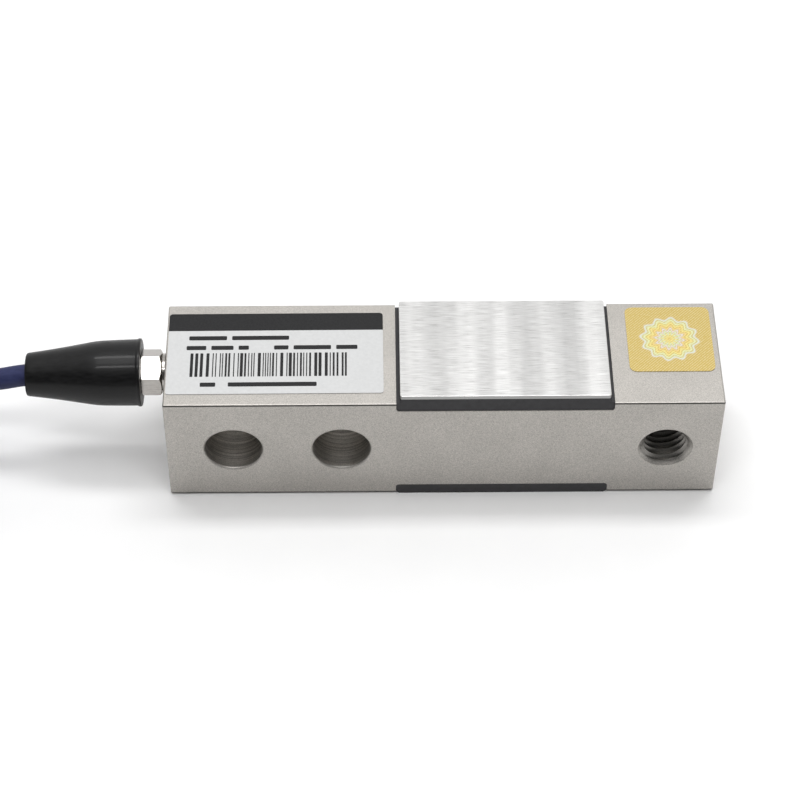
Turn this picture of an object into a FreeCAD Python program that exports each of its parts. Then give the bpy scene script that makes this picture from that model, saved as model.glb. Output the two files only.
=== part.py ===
import FreeCAD, Part
import math
import os

# A cantilever (shear) beam load cell with its cable, in millimetres.
# +X runs along the beam from the cable end to the load end, the holes run along Y and +Z is up
# through the cover plates. The part lies on its lower cover plate, at Z = 0.

# Beam
beam_length = 130.0
beam_width = 31.8
beam_height = 31.8
beam_edge_radius = 0.4

# Bolt holes and load hole, all along Y
bolt_hole_diameter = 13.5
bolt_hole_mouth_radius = 0.7
first_hole_inset = 15.7
bolt_hole_spacing = 25.4
load_hole_diameter = 12.0
load_hole_break = 0.5
load_hole_inset = 12.7

# Recesses on the top and bottom faces, and the gauge pockets in their floors
recess_gap_to_bolt_hole = 12.8
recess_gap_to_load_hole = 12.85
recess_depth = 2.5
lower_recess_depth = 2.9
recess_corner_radius = 0.8
pocket_length = 26.0
pocket_width = 19.0
pocket_corner_radius = 4.0
web_thickness = 4.0
web_hole_diameter = 3.0
web_hole_wall_gap = 1.4
web_hole_offset = 3.0

# Cover plates and the sealing compound under them
cover_end_gap = 0.9
cover_side_inset = 0.75
cover_thickness = 1.0
cover_stand_off = 0.9
cover_corner_radius = 0.4
seal_side_inset = 0.2
seal_shoulder_drop = 0.3
seal_under_plate_inset = 0.15
lower_cover_inset = 2.5
lower_cover_stand_out = 0.35
lower_seal_side_inset = 0.05
lower_seal_end_break = 0.8

# Gauges, boards and wires inside the pockets
gauge_length = 8.0
gauge_width = 8.0
gauge_thickness = 0.2
gauge_corner_radius = 0.5
board_length = 6.0
board_width = 12.0
board_thickness = 1.0
board_gap = 0.6
resistor_length = 1.6
resistor_width = 1.2
resistor_height = 0.6
resistor_count = 3
jumper_diameter = 0.3
jumper_count = 4
jumper_lift = 1.0
web_wire_diameter = 0.5
web_wire_count = 3
web_wire_pitch = 0.8
web_wire_lift = 0.8
conductor_diameter = 0.9
conductor_pitch = 1.1
conductor_inset = 1.1
conductor_bend_radius = 1.5

# Cable gland in the beam's end
gland_height = 9.9
gland_thread_diameter = 7.0
gland_thread_length = 8.0
gland_thread_clearance = 0.05
gland_bore_spare = 1.0
gland_stand_off = 1.1
washer_diameter = 9.0
washer_edge_break = 0.25
hex_across_flats = 9.6
hex_length = 4.9
hex_chamfer_angle = 30.0
tail_diameter = 8.0
tail_length = 13.0
tail_barb_height = 0.25
tail_barb_pitch = 3.0
tail_barb_count = 3
tail_wall = 0.6
grommet_length = 7.0
clamp_ring_length = 3.0
passage_diameter = 4.0
cable_clearance = 0.05

# Strain relief boot over the gland's tail
boot_length = 27.15
boot_mouth_depth = 0.1
boot_lip_diameter = 16.2
boot_lip_length = 0.9
boot_body_diameter = 15.7
boot_shoulder_diameter = 15.2
boot_shoulder_length = 10.4
boot_tip_diameter = 10.3
boot_rim_radius = 0.4
boot_clearance = 0.1

# Cable: where it runs, from the gland's axis at the beam's end face
cable_diameter = 5.2
cable_route = [
    (2.0, 0.0, 0.0),
    (-15.0, 0.0, 0.0),
    (-32.5, 0.0, -0.25),
    (-41.0, 0.0, -2.6),
    (-53.0, 0.0, -2.8),
]

# The rest of the cable, tied in a hank on the floor beyond the beam's cable end
hank_offset = 48.0
hank_columns = 2
hank_layers = 5
hank_lead_rise = 2.0
hank_fold_radius = 17.0
hank_straight = 100.0
tie_width = 4.8
tie_thickness = 1.0

# The cable's free end inside the hank, from the middle of the hank
tail_route = [
    (-46.0, 17.2, 22.9),
    (-30.0, 12.0, 19.5),
    (-14.0, 4.5, 11.5),
    (2.0, 0.5, 5.0),
    (16.0, 0.0, 3.8),
]
sleeve_diameter = 6.4
sleeve_length = 14.0
sleeve_overlap = 9.0
lead_diameter = 1.2
lead_tip_diameter = 0.8
lead_tip_length = 6.0
lead_pitch = 1.3
lead_floor_pitch = 2.4
lead_tip_pitch = 4.4
lead_drop_run = 12.0
lead_lie_run = 18.0
lead_names = ["lead_red", "lead_black", "shield_drain", "lead_green", "lead_white"]

# Label and sticker on the top face
sticker_thickness = 0.15
label_length = 50.55
label_width = 25.4
label_inset = 0.45
label_offset = 0.3
label_corner_radius = 0.7
badge_length = 20.05
badge_width = 20.5
badge_inset = 1.4
badge_offset = 4.1
badge_corner_radius = 1.6

# How far a cutting solid runs past what it cuts, and the share of a run that a bend may take
cut_spare = 1.0
bend_share = 0.45

# Places worked out from the sizes above
end_x = -beam_length / 2
middle_z = lower_cover_stand_out + beam_height / 2
top_z = middle_z + beam_height / 2
bolt_hole_xs = [end_x + first_hole_inset, end_x + first_hole_inset + bolt_hole_spacing]
load_hole_x = -end_x - load_hole_inset
recess_start_x = bolt_hole_xs[1] + recess_gap_to_bolt_hole
recess_end_x = load_hole_x - recess_gap_to_load_hole
recess_length = recess_end_x - recess_start_x
recess_x = (recess_start_x + recess_end_x) / 2
gland_z = middle_z + gland_height
hex_front_x = end_x - gland_stand_off
hex_rear_x = hex_front_x - hex_length
tail_end_x = hex_rear_x - tail_length
thread_end_x = end_x + gland_thread_length
boot_rim_x = hex_rear_x + boot_mouth_depth
boot_tip_x = boot_rim_x - boot_length
board_x = recess_x - gauge_length / 2 - board_gap - board_length / 2
web_hole_x = recess_x + pocket_length / 2 - web_hole_wall_gap - web_hole_diameter / 2
hank_width = hank_columns * cable_diameter
hank_height = hank_layers * cable_diameter + hank_lead_rise
hank_outer_radius = hank_fold_radius - cable_diameter / 2 + hank_width
hank_inner_radius = hank_fold_radius - cable_diameter / 2
hank_x = end_x - hank_offset - hank_outer_radius - hank_straight / 2


def block(length, width, height, centre_x, centre_y, bottom):
    corner = FreeCAD.Vector(centre_x - length / 2, centre_y - width / 2, bottom)
    return Part.makeBox(length, width, height, corner)


def rounded_block(length, width, height, radius, centre_x, centre_y, bottom):
    solid = block(length, width, height, centre_x, centre_y, bottom)
    upright = [e for e in solid.Edges if abs(e.BoundBox.ZLength - height) < 1e-6]
    return solid.makeFillet(radius, upright)


def rod(diameter, start, end):
    a, b = FreeCAD.Vector(*start), FreeCAD.Vector(*end)
    return Part.makeCylinder(diameter / 2, (b - a).Length, a, b - a)


def turned(profile, axis_z):
    """A solid of revolution about the line along X at that height, from (x, radius) points."""
    points = [FreeCAD.Vector(x, 0, axis_z + radius) for x, radius in profile]
    face = Part.Face(Part.makePolygon(points + points[:1]))
    return face.revolve(FreeCAD.Vector(0, 0, axis_z), FreeCAD.Vector(1, 0, 0), 360)


def path_with_arcs(points, radius=None):
    """A wire of straight runs joined by tangent arcs, its length and its radii."""
    corners = [FreeCAD.Vector(*p) for p in points]
    edges, radii, start = [], [], corners[0]
    for before, corner, after in zip(corners, corners[1:], corners[2:]):
        back, ahead = before - corner, after - corner
        half_turn = (math.pi - back.getAngle(ahead)) / 2
        largest = bend_share * min(back.Length, ahead.Length) / math.tan(half_turn)
        bend = min(radius, largest) if radius else largest
        reach = bend * math.tan(half_turn)
        back.normalize()
        ahead.normalize()
        first, last = corner + back * reach, corner + ahead * reach
        inward = back + ahead
        inward.normalize()
        middle = corner + inward * (bend / math.cos(half_turn) - bend)
        edges.append(Part.LineSegment(start, first).toShape())
        edges.append(Part.Arc(first, middle, last).toShape())
        radii.append(bend)
        start = last
    edges.append(Part.LineSegment(start, corners[-1]).toShape())
    wire = Part.Wire(edges)
    return wire, wire.Length, radii


def tube(points, diameter, radius=None, name=None):
    wire, length, radii = path_with_arcs(points, radius)
    first = FreeCAD.Vector(*points[0])
    heading = FreeCAD.Vector(*points[1]) - first
    circle = Part.Wire(Part.makeCircle(diameter / 2, first, heading))
    solid = wire.makePipeShell([circle], True, False)
    if name:
        expected = math.pi * diameter ** 2 / 4 * length
        print(name, "radii", [round(r, 1) for r in radii], "length", round(length, 2))
        print(name, "volume over section times length", round(solid.Volume / expected, 5))
    return solid


def flipped(solid):
    """The same piece on the underside of the beam, turned half round the beam's own length."""
    return solid.rotated(FreeCAD.Vector(0, 0, middle_z), FreeCAD.Vector(1, 0, 0), 180)


def hole_with_breaks(diameter, edge_break, x):
    """A hole right through along Y, with a small chamfer at each mouth."""
    half = beam_width / 2
    hole = rod(diameter, (x, -half - cut_spare, middle_z), (x, half + cut_spare, middle_z))
    for side in (-1, 1):
        mouth = Part.makeCone(
            diameter / 2 + edge_break, diameter / 2, edge_break,
            FreeCAD.Vector(x, side * half, middle_z), FreeCAD.Vector(0, -side, 0))
        hole = hole.fuse(mouth)
    return hole


def hole_with_round_mouths(diameter, mouth_radius, x):
    """A hole right through along Y, with both mouths rounded over."""
    half, radius = beam_width / 2, diameter / 2
    outer = radius + mouth_radius
    halfway = mouth_radius * math.sqrt(0.5)

    def point(out, y):
        return FreeCAD.Vector(x + out, y, middle_z)

    def mouth(side):
        wall_end = half - mouth_radius
        return Part.Arc(point(outer, side * half), point(outer - halfway, side * (wall_end + halfway)),
                        point(radius, side * wall_end)).toShape()

    end = half + cut_spare
    closing = Part.makePolygon([point(outer, half), point(outer, end), point(0, end),
                                point(0, -end), point(outer, -end), point(outer, -half)])
    wall = Part.makeLine(point(radius, -half + mouth_radius), point(radius, half - mouth_radius))
    outline = Part.Wire([mouth(-1), wall, mouth(1), *closing.Edges])
    return Part.Face(outline).revolve(point(0, 0), FreeCAD.Vector(0, 1, 0), 360)


def recess_fill(depth, width, spare):
    """A block as long as the recess and that deep under the top face, with the recess's rounded corners."""
    floor_z = top_z - depth
    fill = block(recess_length, width, depth + spare, recess_x, 0, floor_z)
    corners = [e for e in fill.Edges
               if e.BoundBox.YLength > beam_width / 2 and e.BoundBox.ZMax < floor_z + 1e-6]
    return fill.makeFillet(recess_corner_radius, corners)


def recess_and_pocket(depth):
    """What is cut from the top face: the full-width recess and the pocket down to the web."""
    recess = recess_fill(depth, beam_width + 2 * cut_spare, cut_spare)
    pocket_floor_z = middle_z + web_thickness / 2
    pocket = rounded_block(pocket_length, pocket_width, top_z - depth + cut_spare - pocket_floor_z,
                           pocket_corner_radius, recess_x, 0, pocket_floor_z)
    return recess.fuse(pocket)


def beam_body():
    bar = block(beam_length, beam_width, beam_height, 0, 0, middle_z - beam_height / 2)
    bar = bar.makeFillet(beam_edge_radius, bar.Edges)
    cuts = [hole_with_round_mouths(bolt_hole_diameter, bolt_hole_mouth_radius, x) for x in bolt_hole_xs]
    cuts.append(hole_with_breaks(load_hole_diameter, load_hole_break, load_hole_x))
    cuts.append(recess_and_pocket(recess_depth))
    cuts.append(flipped(recess_and_pocket(lower_recess_depth)))
    bore_end_x = thread_end_x + gland_bore_spare
    cuts.append(rod(gland_thread_diameter, (end_x - cut_spare, 0, gland_z), (bore_end_x, 0, gland_z)))
    cuts.append(rod(passage_diameter, (end_x, 0, gland_z), (recess_x, 0, gland_z)))
    web_reach = web_thickness / 2 + cut_spare
    cuts.append(rod(web_hole_diameter, (web_hole_x, web_hole_offset, middle_z - web_reach),
                    (web_hole_x, web_hole_offset, middle_z + web_reach)))
    return bar.cut(cuts)


def upper_cover_plate():
    return rounded_block(recess_length - 2 * cover_end_gap, beam_width - 2 * cover_side_inset,
                         cover_thickness, cover_corner_radius,
                         recess_x, 0, top_z + cover_stand_off)


def lower_cover_plate():
    """A smaller plate let into the compound, flush with it."""
    plate = rounded_block(recess_length - 2 * lower_cover_inset, beam_width - 2 * lower_cover_inset,
                          cover_thickness, cover_corner_radius, recess_x, 0,
                          top_z + lower_cover_stand_out - cover_thickness)
    return flipped(plate)


def upper_seal():
    """Compound that fills the recess to a shoulder and rises from there to the plate, with sloping sides."""
    floor_z = top_z - recess_depth
    shoulder_z = top_z - seal_shoulder_drop
    plate_z = top_z + cover_stand_off
    bed = recess_fill(recess_depth, beam_width, -seal_shoulder_drop)
    rise = block(recess_length - 2 * (cover_end_gap + seal_under_plate_inset), beam_width,
                 plate_z - shoulder_z, recess_x, 0, shoulder_z)
    foot = beam_width / 2 - seal_side_inset
    head = beam_width / 2 - cover_side_inset - seal_under_plate_inset
    corners = [FreeCAD.Vector(recess_start_x, y, z)
               for y, z in ((-foot, floor_z), (foot, floor_z), (head, plate_z), (-head, plate_z))]
    slopes = Part.Face(Part.makePolygon(corners + corners[:1])).extrude(FreeCAD.Vector(recess_length, 0, 0))
    return bed.fuse(rise).common(slopes).removeSplitter()


def lower_seal(plate):
    """Compound round the lower plate, a little proud of the underside and broken at both ends."""
    fill = recess_fill(lower_recess_depth, beam_width - 2 * lower_seal_side_inset, lower_cover_stand_out)
    ends = [e for e in fill.Edges if e.BoundBox.YLength > beam_width / 2 and e.BoundBox.ZMin > top_z]
    return flipped(fill.makeChamfer(lower_seal_end_break, ends)).cut(plate)


def shear_gauge():
    return rounded_block(gauge_length, gauge_width, gauge_thickness, gauge_corner_radius,
                         recess_x, 0, middle_z + web_thickness / 2)


def terminal_board():
    return block(board_length, board_width, board_thickness, board_x, 0,
                 middle_z + web_thickness / 2)


def trim_resistors():
    """Small chips across the board's middle."""
    board_top = middle_z + web_thickness / 2 + board_thickness
    pitch = board_width / resistor_count
    first_y = -pitch * (resistor_count - 1) / 2
    chips = [block(resistor_length, resistor_width, resistor_height, board_x, first_y + i * pitch, board_top)
             for i in range(resistor_count)]
    return Part.makeCompound(chips)


def jumpers():
    """Fine wires from the gauge's near edge over to the board's near edge."""
    web_z = middle_z + web_thickness / 2
    gauge_end_x = recess_x - gauge_length / 2 + jumper_diameter
    board_end_x = board_x + board_length / 2 - jumper_diameter
    lift_z = web_z + board_thickness + jumper_lift
    pitch = gauge_width / jumper_count
    wires = []
    for i in range(jumper_count):
        y = pitch * (i - (jumper_count - 1) / 2)
        route = [(gauge_end_x, y, web_z + gauge_thickness), (gauge_end_x, y, lift_z),
                 (board_end_x, y, lift_z), (board_end_x, y, web_z + board_thickness)]
        wires.append(tube(route, jumper_diameter, jumper_diameter))
    return Part.makeCompound(wires)


def web_wires():
    """Wires that rise from the upper board, go down through the web's hole and end on the lower board."""
    rise = web_thickness / 2 + board_thickness
    lift = rise + jumper_lift + jumper_diameter + web_wire_lift
    wires = []
    for i in range(web_wire_count):
        y = web_hole_offset + web_wire_pitch * (i - (web_wire_count - 1) / 2)
        x = board_x - board_length / 2 + web_wire_diameter
        route = [(x, y, middle_z + rise), (x, y, middle_z + lift), (web_hole_x, y, middle_z + lift),
                 (web_hole_x, y, middle_z - lift), (x, y, middle_z - lift), (x, y, middle_z - rise)]
        wires.append(tube(route, web_wire_diameter, web_wire_diameter))
    return Part.makeCompound(wires)


def inner_conductors():
    """The cable's four conductors, from the end of its sheath to the upper board."""
    board_top = middle_z + web_thickness / 2 + board_thickness
    sheath_end_x = end_x + cable_route[0][0]
    wires = []
    for column in (-1, 1):
        for row in (-1, 1):
            y, z = column * conductor_pitch / 2, gland_z + row * conductor_pitch / 2
            drop_x = board_x - board_length / 2 + conductor_inset + row * conductor_pitch / 2
            route = [(sheath_end_x, y, z), (drop_x, y, z), (drop_x, y, board_top)]
            wires.append(tube(route, conductor_diameter, conductor_bend_radius))
    return Part.makeCompound(wires)


def hexagon():
    """The gland's hex, with its corners turned off at both ends."""
    corner_radius = hex_across_flats / 2 / math.cos(math.pi / 6)
    corners = [FreeCAD.Vector(hex_rear_x, corner_radius * math.cos(math.radians(30 + 60 * i)),
                              gland_z + corner_radius * math.sin(math.radians(30 + 60 * i)))
               for i in range(6)]
    prism = Part.Face(Part.makePolygon(corners + corners[:1])).extrude(FreeCAD.Vector(hex_length, 0, 0))
    run = (corner_radius - hex_across_flats / 2) * math.tan(math.radians(hex_chamfer_angle))
    envelope = turned([(hex_rear_x, 0), (hex_rear_x, hex_across_flats / 2), (hex_rear_x + run, corner_radius),
                       (hex_front_x - run, corner_radius), (hex_front_x, hex_across_flats / 2),
                       (hex_front_x, 0)], gland_z)
    return prism.common(envelope)


def gland_body():
    """Threaded spigot, hex and barbed tail, bored for the cable."""
    spigot_radius = gland_thread_diameter / 2 - gland_thread_clearance
    tail_radius = tail_diameter / 2
    profile = [(tail_end_x, 0), (tail_end_x, tail_radius)]
    for i in range(tail_barb_count):
        x = tail_end_x + (i + 1) * tail_barb_pitch
        profile += [(x, tail_radius + tail_barb_height), (x, tail_radius)]
    profile += [(hex_rear_x, tail_radius), (hex_rear_x, spigot_radius),
                (thread_end_x, spigot_radius), (thread_end_x, 0)]
    body = turned(profile, gland_z).fuse(hexagon())
    sheath_end_x = end_x + cable_route[0][0]
    mouth = (tail_end_x - cut_spare, 0, gland_z)
    sheath = rod(cable_diameter + 2 * cable_clearance, mouth, (sheath_end_x, 0, gland_z))
    wires = rod(passage_diameter, mouth, (thread_end_x + cut_spare, 0, gland_z))
    seat = rod(tail_diameter - 2 * tail_wall, mouth,
               (tail_end_x + grommet_length + clamp_ring_length, 0, gland_z))
    return body.cut([sheath, wires, seat]).removeSplitter()


def ring_on_cable(start_x, length, cable_solid):
    outer = rod(tail_diameter - 2 * tail_wall, (start_x, 0, gland_z), (start_x + length, 0, gland_z))
    return outer.cut(cable_solid)


def gland_clamp_ring(cable_solid):
    return ring_on_cable(tail_end_x, clamp_ring_length, cable_solid)


def gland_grommet(cable_solid):
    return ring_on_cable(tail_end_x + clamp_ring_length, grommet_length, cable_solid)


def gland_washer():
    """Flat ring between the hex and the beam's end face, with its rim broken on both sides."""
    inner = gland_thread_diameter / 2
    outer = washer_diameter / 2
    return turned([(hex_front_x, inner), (hex_front_x, outer - washer_edge_break),
                   (hex_front_x + washer_edge_break, outer), (end_x - washer_edge_break, outer),
                   (end_x, outer - washer_edge_break), (end_x, inner)], gland_z)


def cable_points():
    return [(end_x + x, y, gland_z + z) for x, y, z in cable_route]


def cable_whole():
    return tube(cable_points(), cable_diameter, name="cable")


def strain_relief_boot(cable_solid):
    """A bell of rubber, straight to its shoulder and then a taper down to the cable."""
    lip_end_x = boot_rim_x - boot_lip_length
    shoulder_x = boot_rim_x - boot_shoulder_length
    barb_radius = tail_diameter / 2 + tail_barb_height + boot_clearance
    mouth_radius = hex_across_flats / 2 / math.cos(math.pi / 6) + boot_clearance
    outside = turned([
        (boot_rim_x, 0), (boot_rim_x, boot_lip_diameter / 2 - boot_rim_radius),
        (boot_rim_x - boot_rim_radius, boot_lip_diameter / 2), (lip_end_x, boot_lip_diameter / 2),
        (lip_end_x - boot_rim_radius, boot_body_diameter / 2), (shoulder_x, boot_shoulder_diameter / 2),
        (boot_tip_x + boot_rim_radius, boot_tip_diameter / 2),
        (boot_tip_x, boot_tip_diameter / 2 - boot_rim_radius), (boot_tip_x, 0)], gland_z)
    mouth = rod(2 * mouth_radius, (hex_rear_x, 0, gland_z), (boot_rim_x + cut_spare, 0, gland_z))
    socket = rod(2 * barb_radius, (tail_end_x, 0, gland_z), (boot_rim_x + cut_spare, 0, gland_z))
    return outside.cut([mouth, socket, cable_solid])


def stadium(radius, straight, height, centre_x, bottom):
    """A flat bar with half-round ends, lying along X."""
    middle = block(straight, 2 * radius, height, centre_x, 0, bottom)
    ends = [Part.makeCylinder(radius, height, FreeCAD.Vector(centre_x + side * straight / 2, 0, bottom))
            for side in (-1, 1)]
    return middle.fuse(ends).removeSplitter()


def hank_ring():
    outer = stadium(hank_outer_radius, hank_straight, hank_height, hank_x, 0)
    opening = stadium(hank_inner_radius, hank_straight, hank_height + 2 * cut_spare, hank_x, -cut_spare)
    return outer.cut(opening)


def hank_tie(side):
    """A band let into one long side of the hank, which it squeezes."""
    centre_y = side * (hank_inner_radius + hank_outer_radius) / 2
    band = block(tie_width, hank_width, hank_height, hank_x, centre_y, 0)
    inside = block(tie_width + 2 * cut_spare, hank_width - 2 * tie_thickness, hank_height - 2 * tie_thickness,
                   hank_x, centre_y, tie_thickness)
    return band.cut(inside)


def tail_points():
    return [(hank_x + x, y, z) for x, y, z in tail_route]


def end_heading():
    """The free end's last point and its direction there."""
    last, before = (FreeCAD.Vector(*p) for p in (tail_points()[-1], tail_points()[-2]))
    heading = last - before
    heading.normalize()
    return last, heading


def cable_end_sleeve(tail_solid):
    last, heading = end_heading()
    start = last - heading * sleeve_overlap
    sleeve = Part.makeCylinder(sleeve_diameter / 2, sleeve_length, start, heading)
    return sleeve.cut(tail_solid)


def lead(place, sleeve):
    """One bare-ended lead that drops from the sleeve to the floor and fans out; place is -2 to 2."""
    last, heading = end_heading()
    start = last + heading * (sleeve_length - sleeve_overlap - lead_diameter)
    floor_x = start.x + lead_drop_run
    lie_z = lead_diameter / 2
    points = [(start.x, start.y + place * lead_pitch, start.z),
              (floor_x, start.y + place * lead_floor_pitch, lie_z),
              (floor_x + lead_lie_run, start.y + place * lead_tip_pitch, lie_z)]
    insulated = tube(points, lead_diameter)
    end, before = FreeCAD.Vector(*points[-1]), FreeCAD.Vector(*points[-2])
    tip = Part.makeCylinder(lead_tip_diameter / 2, lead_tip_length, end, end - before)
    return insulated.fuse(tip).cut(sleeve)


def sticker(length, width, radius, centre_x, centre_y):
    return rounded_block(length, width, sticker_thickness, radius, centre_x, centre_y, top_z)


def rating_label():
    return sticker(label_length, label_width, label_corner_radius,
                   end_x + label_inset + label_length / 2, label_offset)


def security_sticker():
    return sticker(badge_length, badge_width, badge_corner_radius,
                   -end_x - badge_inset - badge_length / 2, badge_offset)


def build():
    """Every piece by its name."""
    lower_plate = lower_cover_plate()
    ring = hank_ring()
    cable_solid = cable_whole()
    tail_solid = tube(tail_points(), cable_diameter, name="cable_tail")
    sleeve = cable_end_sleeve(tail_solid)
    ties = {"hank_tie_front": hank_tie(-1), "hank_tie_back": hank_tie(1)}
    pieces = {
        "beam_body": beam_body(),
        "upper_cover_plate": upper_cover_plate(),
        "lower_cover_plate": lower_plate,
        "upper_seal": upper_seal(),
        "lower_seal": lower_seal(lower_plate),
        "upper_shear_gauge": shear_gauge(),
        "lower_shear_gauge": flipped(shear_gauge()),
        "upper_terminal_board": terminal_board(),
        "lower_terminal_board": flipped(terminal_board()),
        "trim_resistors": trim_resistors(),
        "upper_jumpers": jumpers(),
        "lower_jumpers": flipped(jumpers()),
        "web_wires": web_wires(),
        "inner_conductors": inner_conductors(),
        "gland_body": gland_body(),
        "gland_washer": gland_washer(),
        "gland_grommet": gland_grommet(cable_solid),
        "gland_clamp_ring": gland_clamp_ring(cable_solid),
        "strain_relief_boot": strain_relief_boot(cable_solid),
        "cable": cable_solid.cut(ring),
        "cable_hank": ring.cut(list(ties.values())),
        "cable_tail": tail_solid.cut(ring),
        "cable_end_sleeve": sleeve,
        "rating_label": rating_label(),
        "security_sticker": security_sticker(),
    }
    pieces.update(ties)
    middle = (len(lead_names) - 1) / 2
    for number, name in enumerate(lead_names):
        pieces[name] = lead(number - middle, sleeve)
    return pieces


def main():
    os.makedirs("parts", exist_ok=True)
    for name, shape in build().items():
        shape.exportStep(f"parts/{name}.step")


main()
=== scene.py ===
import bmesh
import bpy
import math
import random
from mathutils import Matrix, Vector


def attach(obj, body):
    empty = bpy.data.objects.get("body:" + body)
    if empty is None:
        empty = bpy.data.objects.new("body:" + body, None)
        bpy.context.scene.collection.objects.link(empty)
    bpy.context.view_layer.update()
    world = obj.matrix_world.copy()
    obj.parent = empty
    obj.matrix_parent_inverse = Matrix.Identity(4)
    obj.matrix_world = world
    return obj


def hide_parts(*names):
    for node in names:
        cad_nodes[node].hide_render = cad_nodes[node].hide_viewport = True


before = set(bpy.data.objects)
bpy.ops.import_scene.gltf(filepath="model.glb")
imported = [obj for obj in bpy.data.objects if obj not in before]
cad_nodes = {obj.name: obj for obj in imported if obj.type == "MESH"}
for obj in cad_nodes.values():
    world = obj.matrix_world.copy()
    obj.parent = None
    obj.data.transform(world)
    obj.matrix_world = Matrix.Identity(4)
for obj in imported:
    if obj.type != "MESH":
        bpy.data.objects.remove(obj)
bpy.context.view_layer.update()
MM = 0.001
MICRON = 0.000001

# Beam and holes, the same as the part's own. Sizes are in millimetres where nothing else is said.
end_x = -65.0
middle_z = 16.25
top_z = 32.15
beam_half_width = 15.9
bolt_hole_places = (-49.3, -23.9)
bolt_hole_radius = 6.75
load_hole_x = 52.3
load_hole_radius = 6.0
load_hole_break = 0.5
countersink_slope = 1.0
thread_pitch = 1.75
thread_depth = 0.947
thread_start = 1.275

# Cable, boot and hank
gland_z = 26.15
boot_droop = 0.02
cable_diameter = 5.2
hank_x = -187.8
hank_straight = 100.0
hank_inner_radius = 17.0
hank_outer_radius = 22.2
hank_turns = 4
lead_tip_x = hank_x + 49.8
solder_x = 4.2

# Ties round the hank, each with a lock
tie_width = 4.8
tie_inner_y = 14.5
tie_outer_y = 24.7
tie_wall = 0.8
tie_corner = 2.6
front_tie_height = 25.6
back_tie_height = 23.0
tie_reach = 15.0
tie_squeeze = 0.36
lock_overhang = 1.4
lock_height = 6.0
lock_corner = 0.6
lock_z = 14.0
lock_sunk = 0.2
lock_depth = 2.6

# Upper cover plate
cover_length = 48.75
cover_width = 30.3
cover_thickness = 1.0
cover_corner = 0.5
cover_roll = 0.16
cover_centre = (14.175, 0)
cover_rise = 1.9

# Label and sticker
film_thickness = 0.15
ink_thickness = 0.02
ink_corner_share = 0.2
label_size = (50.55, 25.4)
label_corner = 0.7
label_centre = (-39.275, 0.3)
label_turn = 0.15
head_low = 7.22
head_corner = 0.8
sticker_size = (20.05, 20.5)
sticker_corner = 1.7
sticker_centre = (53.575, 4.1)

# Print on the label: each row of dashes has its height, its start and the dashes' lengths
dash_rows = (
    (4.85, -20.35, (8.9, 13.4)),
    (1.75, -20.85, (4.6, 5.2, 2.4)),
    (1.75, -0.35, (3.4, 8.8, 5.0)),
    (-9.8, -17.35, (3.6,)),
    (-9.8, -10.85, (20.6,)),
)
dash_width = 1.3
dash_gap = 1.2
bars_start = -19.85
bars_stop = 16.55
bars_y = -3.65
bar_length = 7.4
bar_widths = (0.25, 0.45, 0.7)
bar_gaps = (0.3, 0.45, 0.75)

# Camera, in millimetres and degrees, fitted to the photograph
camera_place = (-16.62, -396.11, 465.38)
camera_elevation = 48.62
camera_yaw = -0.96
camera_roll = 0.38
camera_lens = 112.617
camera_sensor = 36.0

# Colours of the nickel plate's grain, and the levels that most of a noise lies between
plate_dark = (0.335, 0.321, 0.301)
plate_light = (0.635, 0.607, 0.569)
noise_low = 0.3
noise_high = 0.7

# Stage and lights, in metres and watts
floor_half = 6.0
floor_fade = (0.35, 0.9)
lit_place = (0, 0, 0)
lamps = (
    ("back_lamp", (0.0, 0.29, 1.107), (0.9, 0.16), 4.6),
    ("front_lamp", (0.0, -0.405, 1.076), (0.9, 0.12), 3.8),
    ("upper_lamp", (0.0, 0.02, 1.145), (0.9, 0.45), 3.3),
)
tent_front = (0, -1, 0.3)
tent_levels = ((0.0, 1.0), (0.34, 1.0), (0.48, 0.32), (0.75, 0.265), (0.85, 0.12))
tent_strength = 0.84


def metres(points):
    return [Vector(p) * MM for p in points]


def grey(level):
    return level, level, level


def new_object(name, data):
    """An object with that data, put into the scene."""
    piece = bpy.data.objects.new(name, data)
    bpy.context.collection.objects.link(piece)
    return piece


def place_camera():
    """The camera looks along the way fitted to the photograph."""
    elevation, yaw, roll = (math.radians(a) for a in (camera_elevation, camera_yaw, camera_roll))
    level = math.cos(elevation)
    back = Vector((math.sin(yaw) * level, -math.cos(yaw) * level, math.sin(elevation)))
    right = Vector((math.cos(yaw), math.sin(yaw), 0))
    up = back.cross(right)
    across = right * math.cos(roll) + up * math.sin(roll)
    upward = up * math.cos(roll) - right * math.sin(roll)
    data = bpy.data.cameras.new("camera")
    data.lens = camera_lens
    data.sensor_width = camera_sensor
    data.clip_start = 0.01
    camera = new_object("camera", data)
    turn = Matrix((across, upward, back)).transposed().to_4x4()
    camera.matrix_world = Matrix.Translation(Vector(camera_place) * MM) @ turn
    bpy.context.scene.camera = camera


# Cable
def around_hank(radius, phase):
    """Where a turn of that radius is, in plan, after that many turns from the middle of its right end."""
    straight = hank_straight
    fold = math.pi * radius
    run = (phase % 1) * 2 * (straight + fold)
    right, left = hank_x + straight / 2, hank_x - straight / 2
    if run < fold / 2 or run >= 2 * straight + 1.5 * fold:
        angle = -(run if run < fold / 2 else run - 2 * (straight + fold)) / radius
        return right + radius * math.cos(angle), radius * math.sin(angle)
    if run < fold / 2 + straight:
        return right - (run - fold / 2), -radius
    if run < 1.5 * fold + straight:
        angle = (run - fold / 2 - straight) / radius
        return left - radius * math.sin(angle), -radius * math.cos(angle)
    return left + (run - 1.5 * fold - straight), radius


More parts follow.
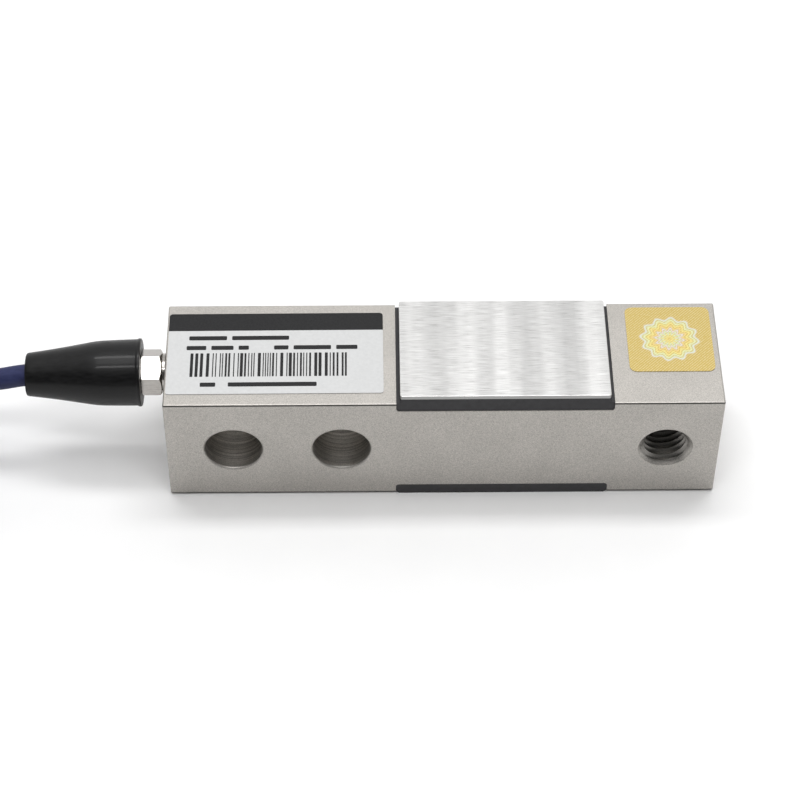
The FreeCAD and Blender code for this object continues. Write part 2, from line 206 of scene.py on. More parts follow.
def turn_phases(radius):
    """The phases of one turn's control points: close together round the folds, few along the runs."""
    fold = math.pi * radius
    whole = 2 * (hank_straight + fold)
    fold_steps = 8
    run_shares = (0.08, 0.25, 0.5, 0.75, 0.92)
    runs = [fold * i / fold_steps for i in range(fold_steps // 2 + 1)]
    runs += [fold / 2 + hank_straight * share for share in run_shares]
    runs += [fold / 2 + hank_straight + fold * i / fold_steps for i in range(fold_steps + 1)]
    runs += [1.5 * fold + hank_straight * (1 + share) for share in run_shares]
    runs += [1.5 * fold + 2 * hank_straight + fold * i / fold_steps for i in range(fold_steps // 2)]
    return [run / whole for run in runs]


def hank_point(radius, phase, height):
    """A control point of the hank, pulled in a little where a tie goes round."""
    x, y = around_hank(radius, phase)
    near_tie = max(0.0, 1 - abs(x - hank_x) / tie_reach)
    middle_radius = (hank_inner_radius + hank_outer_radius) / 2
    if near_tie:
        side = 1 if y > 0 else -1
        y = side * (middle_radius + (abs(y) - middle_radius) * (1 - near_tie * tie_squeeze))
    return x, y, height


def hank_points():
    """Down the inner column turn by turn, out along the floor, and up the outer column."""
    lowest = cable_diameter / 2
    highest = lowest + hank_turns * cable_diameter
    first_phase, change_start, change_end, last_phase = 0.2, 4.0, 5.1, 8.42
    points = []
    for turn in range(math.ceil(last_phase)):
        column = hank_inner_radius if turn <= hank_turns else hank_outer_radius
        for share in turn_phases(column):
            phase = turn + share
            if not first_phase <= phase <= last_phase:
                continue
            if phase < change_start:
                radius, height = hank_inner_radius, highest - cable_diameter * phase
            elif phase < change_end:
                moved = (phase - change_start) / (change_end - change_start)
                radius = hank_inner_radius + (hank_outer_radius - hank_inner_radius) * moved
                height = lowest
            else:
                radius, height = hank_outer_radius, lowest + cable_diameter * (phase - change_end)
            points.append(hank_point(radius, phase, height))
    return points


def cable_route():
    """Control points from inside the gland to the free end. The first are counted from the beam's end, and
    those past the hank from its middle."""
    leaving = [(2, 0, 0), (-15, 0, 0), (-32.5, 0, -0.25), (-41, 0, -2.6), (-53, 0, -2.8)]
    onto_hank = [(-131, -2.4, 23.4), (-145, -9.5, 23.2), (-158, -15.2, 22.8)]
    off_hank = [(-58.5, -20.5, 20.2), (-65.8, -15.8, 20.9), (-70.6, -8.5, 22.0), (-72.2, 0.2, 23.6),
                (-70.2, 8.4, 25.2), (-64.8, 14.6, 26.4), (-56.8, 17.6, 26.9), (-47.6, 17.0, 26.0),
                (-36.8, 13.4, 23.2)]
    tail = [(-25, 8.6, 18.0), (-12, 4.0, 10.0), (2, 0.5, 5.0), (16, 0, 3.8)]
    return ([(end_x + x, y, gland_z + z) for x, y, z in leaving] + onto_hank + hank_points()
            + [(hank_x + x, y, z) for x, y, z in off_hank + tail])


def tube_along(name, points, diameter):
    """A round tube along the smooth curve that these control points draw."""
    data = bpy.data.curves.new(name, "CURVE")
    data.dimensions = "3D"
    data.bevel_depth = diameter / 2 * MM
    data.bevel_resolution = 6
    data.resolution_u = 6
    data.use_fill_caps = True
    spline = data.splines.new("NURBS")
    spline.points.add(len(points) - 1)
    for point, place in zip(spline.points, metres(points)):
        point.co = (*place, 1)
    spline.order_u = 3
    spline.use_endpoint_u = True
    return new_object(name, data)


def make_cable():
    """The whole cable as one tube, from the gland through the hank to the free end."""
    cable = tube_along("signal_cable", cable_route(), cable_diameter)
    cable.data.materials.append(cable_material())
    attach(cable, "root")
    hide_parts("cable", "cable_hank", "cable_tail")
    return cable


# Materials
def fill_ramp(node, stops):
    """Gives a colour ramp its (place, colour) stops."""
    elements = node.color_ramp.elements
    while len(elements) < len(stops):
        elements.new(0.5)
    for element, (place, colour) in zip(elements, stops):
        element.position = place
        element.color = (*colour, 1)


def under_face(depths):
    """How far from the beam's middle these depths under its faces are, in metres."""
    return [(beam_half_width - depth) * MM for depth in depths]


class Nodes:
    """A material's node tree, with short ways to add what these materials need."""

    def __init__(self, name):
        self.material = bpy.data.materials.new(name)
        self.material.use_nodes = True
        self.tree = self.material.node_tree
        self.shader = self.tree.nodes["Principled BSDF"]
        self.coordinates = self.tree.nodes.new("ShaderNodeTexCoord").outputs["Object"]

    def link(self, output, socket):
        self.tree.links.new(output, socket)

    def feed(self, value, socket):
        """Sets the socket to a number or a colour, or links an output to it."""
        if isinstance(value, (int, float)):
            socket.default_value = value
        elif isinstance(value, tuple):
            socket.default_value = (*value, 1)
        else:
            self.link(value, socket)

    def stretched(self, scale):
        mapping = self.tree.nodes.new("ShaderNodeMapping")
        mapping.inputs["Scale"].default_value = scale
        self.link(self.coordinates, mapping.inputs["Vector"])
        return mapping.outputs["Vector"]

    def noise(self, scale, detail=3.0):
        """Noise whose grain is about 1 / scale metres along each axis."""
        texture = self.tree.nodes.new("ShaderNodeTexNoise")
        texture.inputs["Scale"].default_value = 1
        texture.inputs["Detail"].default_value = detail
        self.link(self.stretched(scale), texture.inputs["Vector"])
        return texture.outputs["Fac"]

    def axis(self, name):
        parts = self.tree.nodes.new("ShaderNodeSeparateXYZ")
        self.link(self.coordinates, parts.inputs[0])
        return parts.outputs[name]

    def axis_from(self, name, place):
        """How far along the axis a point is from that place."""
        return self.math("SUBTRACT", self.axis(name), place * MM)

    def math(self, operation, *values):
        node = self.tree.nodes.new("ShaderNodeMath")
        node.operation = operation
        for value, socket in zip(values, node.inputs):
            self.feed(value, socket)
        return node.outputs[0]

    def distance(self, first, second):
        """How far off the two coordinates say a point is."""
        squares = [self.math("MULTIPLY", side, side) for side in (first, second)]
        return self.math("SQRT", self.math("ADD", *squares))

    def ramp(self, factor, stops):
        node = self.tree.nodes.new("ShaderNodeValToRGB")
        fill_ramp(node, stops)
        self.link(factor, node.inputs["Fac"])
        return node.outputs["Color"]

    def two_tone(self, grain, low, high):
        """One colour where the grain is low, and the other where it is high."""
        return self.ramp(grain, [(noise_low, low), (noise_high, high)])

    def spread(self, factor, low, high, start=noise_low, stop=noise_high):
        """A number that goes from low to high as the factor goes from start to stop."""
        node = self.tree.nodes.new("ShaderNodeMapRange")
        node.inputs["From Min"].default_value = start
        node.inputs["From Max"].default_value = stop
        node.inputs["To Min"].default_value = low
        node.inputs["To Max"].default_value = high
        self.link(factor, node.inputs["Value"])
        return node.outputs["Result"]

    def rise(self, factor, start, stop):
        """0 up to the start, and 1 from the stop on."""
        return self.spread(factor, 0, 1, start, stop)

    def fall(self, factor, start, stop):
        """1 up to the start, and 0 from the stop on."""
        return self.spread(factor, 1, 0, start, stop)

    def mix(self, factor, first, second, blend="MIX"):
        node = self.tree.nodes.new("ShaderNodeMix")
        node.data_type = "RGBA"
        node.blend_type = blend
        colour_inputs = (node.inputs[0], node.inputs[6], node.inputs[7])
        for value, socket in zip((factor, first, second), colour_inputs):
            self.feed(value, socket)
        return node.outputs[2]

    def tinted(self, colour, tint):
        """The colour multiplied by the tint."""
        return self.mix(1.0, colour, tint, "MULTIPLY")

    def upward(self, start, stop):
        """1 where the surface faces up, 0 where it leans more than the start's share."""
        parts = self.tree.nodes.new("ShaderNodeSeparateXYZ")
        self.link(self.tree.nodes.new("ShaderNodeNewGeometry").outputs["Normal"], parts.inputs[0])
        return self.rise(parts.outputs["Z"], start, stop)

    def painted_edge_shade(self):
        """1 along the outer half of the rounded edges that run the beam's length, where painted shade goes.
        """
        across = self.math("ABSOLUTE", self.axis("Y"))
        height = self.math("ABSOLUTE", self.axis_from("Z", middle_z))
        outer = self.rise(across, *under_face((0.35, 0.25)))
        lower_bound = self.rise(height, *under_face((0.5, 0.42)))
        upper_bound = self.fall(height, *under_face((0.14, 0.08)))
        return self.math("MULTIPLY", outer, self.math("MULTIPLY", lower_bound, upper_bound))

    def bolt_holes(self):
        """1 on the walls of the bolt holes, and 0 a little way out of them."""
        wall, plain = (bolt_hole_radius * share * MM for share in (1.005, 1.03))
        z = self.axis_from("Z", middle_z)
        walls = 0.0
        for place in bolt_hole_places:
            near = self.fall(self.distance(self.axis_from("X", place), z), wall, plain)
            walls = self.math("ADD", near, walls)
        return walls

    def bump(self, height, depth):
        """A bump of that depth in micrometres."""
        node = self.tree.nodes.new("ShaderNodeBump")
        node.inputs["Strength"].default_value = 1
        node.inputs["Distance"].default_value = depth * MICRON
        self.link(height, node.inputs["Height"])
        self.link(node.outputs["Normal"], self.shader.inputs["Normal"])

    def colour(self, output):
        self.link(output, self.shader.inputs["Base Color"])

    def roughness(self, output):
        self.link(output, self.shader.inputs["Roughness"])

    def set(self, **values):
        for name, value in values.items():
            self.shader.inputs[name.replace("_", " ")].default_value = value


def grained(name, low, high, scale, rough, depth, metallic=0.0):
    """A material whose colour and roughness vary with one noise, and whose bump has the same grain."""
    nodes = Nodes(name)
    grain = nodes.noise(scale)
    nodes.colour(nodes.two_tone(grain, low, high))
    nodes.roughness(nodes.spread(grain, *rough))
    nodes.bump(grain, depth)
    nodes.set(Metallic=metallic)
    return nodes


def steel_material():
    """Satin nickel plate over a ground bar: a fine even grain with slow clouding, painted shade along the
    long edges, and with the rings of turning in the bolt holes."""
    nodes = Nodes("satin_nickel")
    grain = nodes.noise((5200, 5200, 5200), 2)
    cloud = nodes.noise((90, 90, 90), 2)
    fine = nodes.two_tone(grain, plate_dark, plate_light)
    slow = nodes.two_tone(cloud, grey(0.93), grey(1.0))
    plated = nodes.tinted(fine, slow)
    rings = nodes.ramp(nodes.noise((40, 2600, 40)), [(0.35, grey(0.72)), (0.65, grey(1.26))])
    turned = nodes.mix(nodes.bolt_holes(), plated, nodes.tinted(plated, rings))
    # Painted shade: the outer half of the rounded long edges is coloured near black.
    nodes.colour(nodes.mix(nodes.painted_edge_shade(), turned, (0.10, 0.097, 0.092)))
    nodes.roughness(nodes.spread(grain, 0.44, 0.58))
    nodes.bump(grain, 6)
    nodes.set(Metallic=1.0)
    return nodes.material


def thread_material():
    """The beam's plate at both mouths, and darker further in, as painted shade inside the hole."""
    nodes = Nodes("nickel_with_painted_shade")
    grain = nodes.noise((5200, 5200, 5200), 2)
    # Painted shade: the thread darkens from both mouths further into the hole.
    inside = nodes.fall(nodes.math("ABSOLUTE", nodes.axis("Y")), *under_face((0.8, 0.4)))
    bright = nodes.two_tone(grain, plate_dark, plate_light)
    shade_painted_inside = nodes.two_tone(grain, (0.20, 0.192, 0.18), (0.36, 0.345, 0.322))
    nodes.colour(nodes.mix(inside, bright, shade_painted_inside))
    nodes.roughness(nodes.spread(grain, 0.36, 0.48))
    nodes.bump(grain, 4)
    nodes.set(Metallic=1.0)
    return nodes.material


def cover_material():
    """Sheet brushed along the beam, with soft bands across the brushing, and painted shade on its sides."""
    band_pitch, band_phase, band_share = 10.1, -9.17, 0.09
    nodes = Nodes("brushed_sheet")
    lines = nodes.noise((260, 16000, 260), 4)
    along = nodes.math("MULTIPLY_ADD", nodes.axis("X"), 2 * math.pi / (band_pitch * MM), band_phase)
    uneven = nodes.spread(nodes.noise((240, 14, 14), 1), 0.38, 0.62)
    bands = nodes.math("MULTIPLY_ADD", nodes.math("COSINE", along), band_share, uneven)
    dark, middle, light = (0.57, 0.565, 0.555), (0.83, 0.825, 0.815), (1.0, 1.0, 0.99)
    fine = nodes.ramp(lines, [(noise_low, dark), (0.5, middle), (noise_high, light)])
    slow = nodes.ramp(bands, [(0.34, grey(0.77)), (0.64, grey(1.0))])
    brushed = nodes.tinted(fine, slow)
    # Painted shade: faces that don't face up, such as the plate's edges, get a dark grey.
    nodes.colour(nodes.mix(nodes.upward(0.1, 0.9), (0.36, 0.36, 0.355), brushed))
    nodes.roughness(nodes.spread(lines, 0.26, 0.40))
    nodes.bump(lines, 6)
    nodes.set(Metallic=1.0)
    return nodes.material


def seal_material():
    """Black sealing compound, slightly lumpy."""
    nodes = grained("sealing_compound", low=(0.016, 0.0155, 0.0175), high=(0.030, 0.029, 0.0325),
                    scale=(700, 700, 700), rough=(0.38, 0.52), depth=30)
    nodes.set(Specular_IOR_Level=0.45)
    return nodes.material


def nickel_material():
    return grained("polished_nickel", low=(0.37, 0.35, 0.33), high=(0.475, 0.455, 0.43),
                   scale=(900, 2600, 2600), rough=(0.13, 0.25), depth=3, metallic=1.0).material


def rubber_material():
    """Moulded black rubber with a dull sheen and faint flow marks along it."""
    nodes = grained("moulded_rubber", low=(0.0034, 0.0034, 0.0036), high=(0.0078, 0.0078, 0.0082),
                    scale=(450, 1800, 1800), rough=(0.34, 0.50), depth=12)
    nodes.set(Specular_IOR_Level=0.22, Coat_Weight=0.12, Coat_Roughness=0.06)
    return nodes.material


def cable_material():
    """Dark blue sheath with a faint extruded grain."""
    nodes = grained("blue_sheath", low=(0.021, 0.026, 0.080), high=(0.035, 0.041, 0.115),
                    scale=(350, 1400, 1400), rough=(0.48, 0.64), depth=20)
    nodes.set(Specular_IOR_Level=0.22)
    return nodes.material


def film_material():
    return grained("label_film", low=(0.600, 0.605, 0.605), high=(0.645, 0.65, 0.65),
                   scale=(1500, 1500, 1500), rough=(0.36, 0.46), depth=4).material


def ink_material():
    nodes = grained("label_ink", low=(0.0155, 0.0155, 0.0165), high=(0.024, 0.024, 0.025),
                    scale=(2500, 2500, 2500), rough=(0.40, 0.52), depth=2)
    nodes.set(Specular_IOR_Level=0.18)
    return nodes.material


def foil_material():
    """Gold foil with a diagonal hatch, and a rosette of rings that split the light. The rates are radians
    per metre, and full rounds of colour per metre."""
    hatch_rate, ring_rate, colour_rate = 8400, 7200, 260
    petal_count, petal_height = 12, 0.5
    rosette_edge = (6.6, 7.0)
    hatch_share = 0.3
    nodes = Nodes("gold_foil")
    x = nodes.axis_from("X", sticker_centre[0])
    y = nodes.axis_from("Y", sticker_centre[1])
    hatch = nodes.math("SINE", nodes.math("MULTIPLY", nodes.math("SUBTRACT", x, y), hatch_rate))
    grain = nodes.noise((2600, 2600, 2600), 2)
    golds = [(0.25, (0.61, 0.44, 0.11)), (0.55, (0.65, 0.49, 0.157)), (0.8, (0.735, 0.625, 0.335))]
    base = nodes.ramp(nodes.math("MULTIPLY_ADD", hatch, hatch_share, grain), golds)
    wave = nodes.math("SINE", nodes.math("MULTIPLY", nodes.math("ARCTAN2", y, x), petal_count))
    petals = nodes.math("MULTIPLY", wave, petal_height * MM)
    out = nodes.math("ADD", nodes.distance(x, y), petals)
    rings = nodes.math("SINE", nodes.math("MULTIPLY", out, ring_rate))
    colours = [(0.0, (0.94, 0.70, 0.18)), (0.3, (0.92, 0.90, 0.38)), (0.55, (0.68, 0.92, 0.74)),
               (0.75, (0.82, 0.78, 0.93)), (1.0, (0.94, 0.70, 0.18))]
    split = nodes.ramp(nodes.math("FRACT", nodes.math("MULTIPLY", out, colour_rate)), colours)
    rosette = nodes.mix(nodes.spread(rings, 0.15, 0.75, -1, 1), base, split)
    inside = nodes.fall(out, *(edge * MM for edge in rosette_edge))
    nodes.colour(nodes.mix(inside, base, rosette))
    nodes.roughness(nodes.spread(hatch, 0.28, 0.40, -1, 1))
    nodes.bump(hatch, 1)
    nodes.set(Metallic=0.55)
    return nodes.material


def amber_material():
    return grained("amber_film", low=(0.46, 0.24, 0.05), high=(0.66, 0.40, 0.12),
                   scale=(600, 2600, 600), rough=(0.3, 0.45), depth=4).material


def board_material():
    return grained("green_laminate", low=(0.06, 0.20, 0.09), high=(0.11, 0.31, 0.15),
                   scale=(900, 900, 900), rough=(0.4, 0.55), depth=6).material


def chip_material():
    return grained("chip_body", low=grey(0.02), high=grey(0.05),
                   scale=(2000, 2000, 2000), rough=(0.4, 0.6), depth=6).material


def copper_material():
    return grained("copper_wire", low=(0.60, 0.28, 0.14), high=(0.80, 0.44, 0.26),
                   scale=(900, 2400, 2400), rough=(0.22, 0.36), depth=4, metallic=1.0).material


def brass_material():
    return grained("plain_brass", low=(0.60, 0.42, 0.16), high=(0.76, 0.58, 0.28),
                   scale=(1200, 2600, 2600), rough=(0.24, 0.38), depth=4, metallic=1.0).material


def nylon_material():
    return grained("black_nylon", low=(0.022, 0.022, 0.023), high=(0.040, 0.040, 0.042),
                   scale=(1100, 1100, 1100), rough=(0.36, 0.5), depth=10).material


def tinned_material():
    return grained("tinned_strand", low=(0.52, 0.52, 0.51), high=(0.76, 0.76, 0.75),
                   scale=(700, 4200, 4200), rough=(0.25, 0.4), depth=40, metallic=1.0).material


def insulation_material(name, colour, tip_x=lead_tip_x):
    """Thin coloured insulation as far as the bare tip, which is tinned wire."""
    nodes = Nodes(name)
    grain = nodes.noise((500, 2200, 2200), 2)
    pale = tuple(min(1.0, c * 1.35 + 0.01) for c in colour)
    tip = nodes.math("GREATER_THAN", nodes.axis("X"), tip_x * MM)
    sheath = nodes.two_tone(grain, colour, pale)
    tin = nodes.two_tone(grain, (0.50, 0.50, 0.49), (0.74, 0.74, 0.73))
    nodes.colour(nodes.mix(tip, sheath, tin))
    nodes.link(tip, nodes.shader.inputs["Metallic"])
    nodes.roughness(nodes.spread(grain, 0.34, 0.48))
    nodes.bump(grain, 10)
    return nodes.material


# Mesh pieces
def mesh_piece(name, vertices, faces, material):
    """A smooth piece with sharp edges where its faces turn, and with no degenerate faces."""
    sharp_angle, degenerate = 35.0, 1e-6
    mesh = bpy.data.meshes.new(name)
    mesh.from_pydata(metres(vertices), [], faces)
    piece = new_object(name, mesh)
    clean = bmesh.new()
    clean.from_mesh(mesh)
    bmesh.ops.dissolve_degenerate(clean, dist=degenerate, edges=clean.edges)
    unused = [v for v in clean.verts if not v.link_faces]
    bmesh.ops.delete(clean, geom=unused, context="VERTS")
    bmesh.ops.recalc_face_normals(clean, faces=clean.faces)
    clean.to_mesh(mesh)
    clean.free()
    mesh.shade_smooth()
    mesh.set_sharp_from_angle(angle=math.radians(sharp_angle))
    mesh.materials.append(material)
    level = piece.modifiers.new("flat_faces_stay_flat", "WEIGHTED_NORMAL")
    level.keep_sharp = True
    level.weight = 100
    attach(piece, "root")
    return piece


def rounded_outline(length, width, radius, steps=6):
    """The corners of a rectangle with rounded corners, about its middle."""
    points = []
    for corner, (sx, sy) in enumerate(((1, 1), (-1, 1), (-1, -1), (1, -1))):
        for i in range(steps + 1):
            angle = math.radians(90 * corner + 90 * i / steps)
            points.append((sx * (length / 2 - radius) + radius * math.cos(angle),
                           sy * (width / 2 - radius) + radius * math.sin(angle)))
    return points


def placed(outline, centre, degrees=0.0):
    """The outline turned by that angle and moved to the centre."""
    c, s = math.cos(math.radians(degrees)), math.sin(math.radians(degrees))
    return [(centre[0] + x * c - y * s, centre[1] + x * s + y * c) for x, y in outline]


def stack_outlines(levels):
    """Vertices and faces of a closed solid through (outline, height) levels with equal counts of points."""
    count = len(levels[0][0])
    vertices = [(x, y, z) for outline, z in levels for x, y in outline]
    faces = [tuple(reversed(range(count))), tuple(range((len(levels) - 1) * count, len(levels) * count))]
    for level in range(len(levels) - 1):
        for i in range(count):
            j = (i + 1) % count
            low, high = level * count, (level + 1) * count
            faces.append((low + i, low + j, high + j, high + i))
    return vertices, faces


def prism(outline, low, high):
    """Vertices and faces of the outline drawn from one height to another."""
    return stack_outlines([(outline, low), (outline, high)])


def add_solid(vertices, faces, more_vertices, more_faces):
    """Adds a solid to the vertices and faces of a piece."""
    start = len(vertices)
    vertices += more_vertices
    faces += [tuple(start + i for i in face) for face in more_faces]


def lathe(profile, droop):
    """A surface of revolution from a closed loop of (x, radius) points, about the gland's axis, which sinks
    by droop for each millimetre away from the beam."""
    steps = 96
    count = len(profile)
    vertices, faces = [], []
    for step in range(steps):
        angle = 2 * math.pi * step / steps
        for x, radius in profile:
            axis_z = gland_z - droop * (profile[0][0] - x)
            vertices.append((x, radius * math.cos(angle), axis_z + radius * math.sin(angle)))
    for step in range(steps):
        here, after = step * count, (step + 1) % steps * count
        for i in range(count):
            j = (i + 1) % count
            faces.append((here + i, here + j, after + j, after + i))
    return vertices, faces


def make_boot():
    """Rubber boot: a thin lip, a straight body, a soft shoulder and a long taper to the cable."""
    profile = [(-70.9, 5.7), (-70.9, 7.8), (-71.05, 8.02), (-71.4, 8.08), (-71.7, 7.98), (-72.0, 7.86),
               (-74.5, 7.82), (-77.5, 7.76), (-80.0, 7.68), (-81.5, 7.56), (-83.0, 7.36), (-84.5, 7.10),
               (-87.5, 6.60), (-90.5, 6.12), (-93.5, 5.68), (-96.4, 5.30), (-97.5, 5.16), (-97.9, 5.04),
               (-98.05, 4.86), (-98.05, 3.1), (-96.8, 2.95), (-90.0, 2.8), (-84.2, 2.8), (-84.2, 4.4),
               (-71.0, 4.4), (-71.0, 5.7)]
    boot = mesh_piece("rubber_boot", *lathe(profile, boot_droop), rubber_material())
    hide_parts("strain_relief_boot")
    return boot


def make_thread():
    """The load hole's screw thread, a ridge that both mouths' countersinks cut away. The ridge's foot and
    flank are shares of the pitch."""
    steps, flank_steps = 64, 6
    foot, flank = 0.06, 0.38
    clearance = 0.01
    limit_y = beam_half_width - load_hole_break
    start_y = thread_start - limit_y - 2 * thread_pitch
    turns = math.ceil((limit_y - start_y) / thread_pitch) + 1
    root = load_hole_radius - clearance
    heights = [i / flank_steps for i in range(flank_steps + 1)]
    shape = [(foot + flank * height, height) for height in heights]
    shape += [(1 - along, height) for along, height in reversed(shape)]
    vertices, faces = [], []
    for step in range(turns * steps + 1):
        share = step / steps
        angle = 2 * math.pi * share
        for along, height in shape:
            y = max(-limit_y, min(limit_y, start_y + thread_pitch * (share + along)))
            sunk = root - countersink_slope * (limit_y - abs(y))
            radius = min(root, max(sunk, root - thread_depth * height))
            x, z = load_hole_x + radius * math.cos(angle), middle_z + radius * math.sin(angle)
            vertices.append((x, y, z))
    count = len(shape)
    for step in range(turns * steps):
        for i in range(count - 1):
            a = step * count + i
            face = (a, a + 1, a + count + 1, a + count)
            if len({vertices[k][1] for k in face}) > 1:
                faces.append(face)
    thread = mesh_piece("load_hole_thread", vertices, faces, thread_material())


def make_cover():
    """The upper cover plate, with a small roll round the rim of its outer face."""
    steps = 4
    outer = top_z + cover_rise
    levels = [(rounded_outline(cover_length, cover_width, cover_corner), outer - cover_thickness)]
    for i in range(steps + 1):
        angle = math.radians(90 * i / steps)
        inset, drop = cover_roll * (1 - math.cos(angle)), cover_roll * (1 - math.sin(angle))
        rim = rounded_outline(cover_length - 2 * inset, cover_width - 2 * inset, cover_corner - inset)
        levels.append((rim, outer - drop))
    vertices, faces = stack_outlines([(placed(outline, cover_centre), z) for outline, z in levels])
    plate = mesh_piece("brushed_plate", vertices, faces, bpy.data.materials["brushed_sheet"])
    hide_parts("upper_cover_plate")


def label_dashes():
    """Rows of dashes, as (x, y, length, width) blocks about the label's middle."""
    blocks = []
    for row_y, x, lengths in dash_rows:
        for length in lengths:
            blocks.append((x + length / 2, row_y, length, dash_width))
            x += length + dash_gap
    return blocks


def label_bars():
    """A field of plain bars of uneven widths and gaps, as blocks of the same form."""
    chooser = random.Random(5)
    blocks = []
    x = bars_start
    while x < bars_stop:
        width = chooser.choice(bar_widths)
        blocks.append((x + width / 2, bars_y, width, bar_length))
        x += width + chooser.choice(bar_gaps)
    return blocks


def head_band():
    """The outline of the label's head band, whose two upper corners are rounded."""
    steps = 6
    half, high = label_size[0] / 2, label_size[1] / 2
    arc = [math.radians(90 * i / steps) for i in range(steps + 1)]
    round_x, round_y = half - head_corner, high - head_corner
    band = [(half, head_low)]
    band += [(round_x + head_corner * math.cos(a), round_y + head_corner * math.sin(a)) for a in arc]
    band += [(-round_x - head_corner * math.sin(a), round_y + head_corner * math.cos(a)) for a in arc]
    band += [(-half, head_low)]
    return band


def make_label():
    """A white film label with a black head band, rows of dashes and a field of plain bars."""
    film_top = top_z + film_thickness
    outline = placed(rounded_outline(*label_size, label_corner), label_centre, label_turn)
    film = mesh_piece("label_film", *prism(outline, top_z, film_top), film_material())
    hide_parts("rating_label")
    printed = []
    for x, y, length, width in label_dashes() + label_bars():
        corner = min(length, width) * ink_corner_share
        printed.append(placed(rounded_outline(length, width, corner, steps=3), (x, y)))
    printed.append(head_band())
    vertices, faces = [], []
    for flat in printed:
        block = prism(placed(flat, label_centre, label_turn), film_top, film_top + ink_thickness)
        add_solid(vertices, faces, *block)
    ink = mesh_piece("label_print", vertices, faces, ink_material())


def make_sticker():
    """A square foil sticker with rounded corners, whose pattern is in its material."""
    outline = placed(rounded_outline(*sticker_size, sticker_corner), sticker_centre)
    film = prism(outline, top_z, top_z + film_thickness)
    foil = mesh_piece("foil_sticker", *film, foil_material())
    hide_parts("security_sticker")


def make_tie(side, height, name, material):
    """A nylon band of that height round one run of the hank, with its lock on the inner side."""
    depth = tie_outer_y - tie_inner_y
    middle_y = (tie_outer_y + tie_inner_y) / 2
    outside = rounded_outline(depth, height, tie_corner)
    inside = rounded_outline(depth - 2 * tie_wall, height - 2 * tie_wall, tie_corner - tie_wall)
    vertices, faces = [], []
    count = len(outside)
    for x in (hank_x - tie_width / 2, hank_x + tie_width / 2):
        for loop in (outside, inside):
            vertices += [(x, side * (middle_y + u), height / 2 + v) for u, v in loop]
    joined_loops = ((0, 1), (3, 2), (2, 0), (1, 3))
    for i in range(count):
        j = (i + 1) % count
        for a, b in joined_loops:
            faces.append((a * count + i, a * count + j, b * count + j, b * count + i))
    lock = rounded_outline(tie_width + lock_overhang, lock_height, lock_corner)
    block, block_faces = prism(lock, tie_inner_y + lock_sunk, tie_inner_y - lock_depth)
    add_solid(vertices, faces, [(hank_x + u, side * y, lock_z + v) for u, v, y in block], block_faces)
    tie = mesh_piece(f"nylon_{name}", vertices, faces, material)
    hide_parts(name)
    return tie


def dress_nodes():
    """Gives each node that shows as it is packed its procedural material."""
    dress = (
        (steel_material(), ["beam_body"]),
        (cover_material(), ["lower_cover_plate"]),
        (seal_material(), ["upper_seal", "lower_seal"]),
        (amber_material(), ["upper_shear_gauge", "lower_shear_gauge"]),
        (board_material(), ["upper_terminal_board", "lower_terminal_board"]),
        (chip_material(), ["trim_resistors"]),
        (copper_material(), ["upper_jumpers", "lower_jumpers", "web_wires"]),
        (insulation_material("inner_insulation", (0.42, 0.05, 0.04), solder_x), ["inner_conductors"]),
        (nickel_material(), ["gland_body", "gland_washer"]),
        (rubber_material(), ["gland_grommet", "cable_end_sleeve"]),
        (brass_material(), ["gland_clamp_ring"]),
        (insulation_material("red_insulation", (0.45, 0.02, 0.02)), ["lead_red"]),
        (insulation_material("black_insulation", (0.02, 0.02, 0.02)), ["lead_black"]),
        (insulation_material("green_insulation", (0.02, 0.22, 0.06)), ["lead_green"]),
        (insulation_material("white_insulation", (0.62, 0.62, 0.60)), ["lead_white"]),
        (tinned_material(), ["shield_drain"]),
    )
    for material, names in dress:
        for name in names:
            mesh = cad_nodes[name].data
            mesh.materials.clear()
            mesh.materials.append(material)


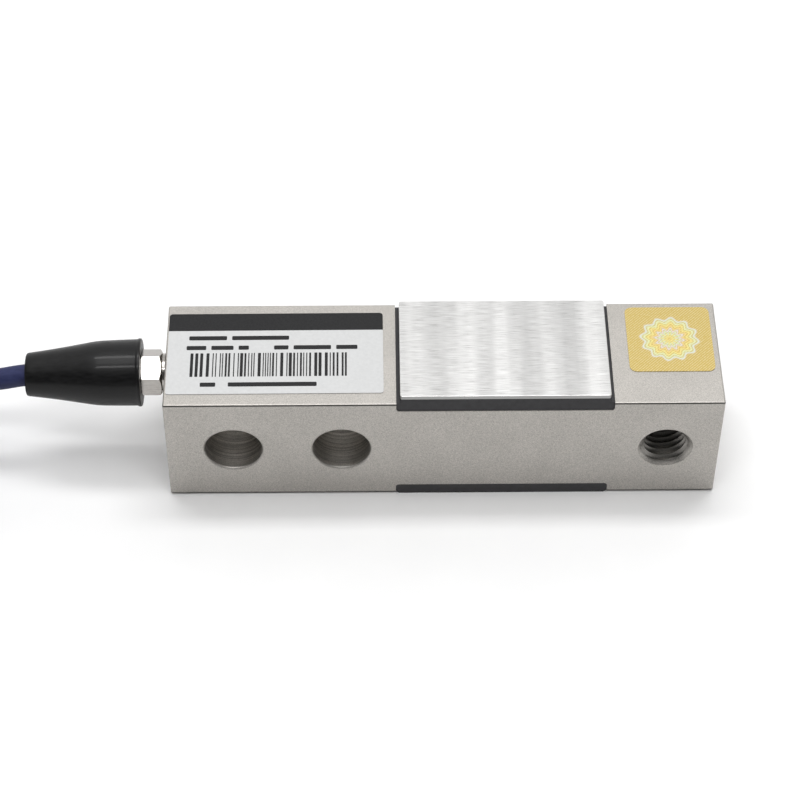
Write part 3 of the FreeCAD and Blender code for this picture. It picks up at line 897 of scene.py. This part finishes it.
# Stage and lights
def floor_material():
    """White paper, which looks evenly white far from the object, where the lamps don't reach."""
    nodes = Nodes("floor_paper")
    grain = nodes.noise((40, 40, 40))
    rays = nodes.tree.nodes.new("ShaderNodeLightPath").outputs
    mirrored = nodes.math("MAXIMUM", rays["Is Glossy Ray"], rays["Is Transmission Ray"])
    seen = nodes.math("MAXIMUM", rays["Is Camera Ray"], mirrored)
    paper = nodes.two_tone(grain, grey(0.955), grey(0.985))
    away = nodes.distance(nodes.axis("X"), nodes.axis("Y"))
    far = nodes.math("MULTIPLY", seen, nodes.rise(away, *floor_fade))
    nodes.colour(nodes.mix(far, paper, (0, 0, 0)))
    nodes.roughness(nodes.spread(grain, 0.8, 0.9))
    nodes.link(far, nodes.shader.inputs["Emission Strength"])
    nodes.set(Emission_Color=(1, 1, 1, 1))
    return nodes.material


def make_floor():
    corners = [(sx * floor_half, sy * floor_half, 0) for sx, sy in ((-1, -1), (1, -1), (1, 1), (-1, 1))]
    mesh = bpy.data.meshes.new("floor")
    mesh.from_pydata(corners, [], [(0, 1, 2, 3)])
    floor = new_object("floor", mesh)
    mesh.materials.append(floor_material())


def add_panel(name, place, size, power):
    """A soft light that faces the object."""
    data = bpy.data.lights.new(name, "AREA")
    data.shape = "RECTANGLE"
    data.size, data.size_y = size
    data.energy = power
    lamp = new_object(name, data)
    lamp.location = place
    lamp.rotation_euler = (Vector(lit_place) - Vector(place)).to_track_quat("-Z", "Y").to_euler()


def make_lights():
    for lamp in lamps:
        add_panel(*lamp)


def make_world():
    """A light tent, white behind the object and darker at the front, where the photographer stands."""
    world = bpy.data.worlds.new("surround")
    bpy.context.scene.world = world
    world.use_nodes = True
    tree = world.node_tree
    direction = tree.nodes.new("ShaderNodeTexCoord").outputs["Generated"]
    toward = tree.nodes.new("ShaderNodeVectorMath")
    toward.operation = "DOT_PRODUCT"
    toward.inputs[1].default_value = Vector(tent_front).normalized()
    tree.links.new(direction, toward.inputs[0])
    share = tree.nodes.new("ShaderNodeMapRange")
    share.inputs["From Min"].default_value = -1.0
    tree.links.new(toward.outputs["Value"], share.inputs["Value"])
    tent = tree.nodes.new("ShaderNodeValToRGB")
    fill_ramp(tent, [(place, grey(level)) for place, level in tent_levels])
    tree.links.new(share.outputs["Result"], tent.inputs["Fac"])
    background = tree.nodes["Background"]
    background.inputs["Strength"].default_value = tent_strength
    tree.links.new(tent.outputs["Color"], background.inputs["Color"])
    bpy.context.scene.view_settings.view_transform = "Standard"


place_camera()
cable = make_cable()
dress_nodes()
boot = make_boot()
make_thread()
make_cover()
make_label()
make_sticker()
nylon = nylon_material()
ties = [make_tie(-1, front_tie_height, "hank_tie_front", nylon),
        make_tie(1, back_tie_height, "hank_tie_back", nylon)]
make_floor()
make_lights()
make_world()
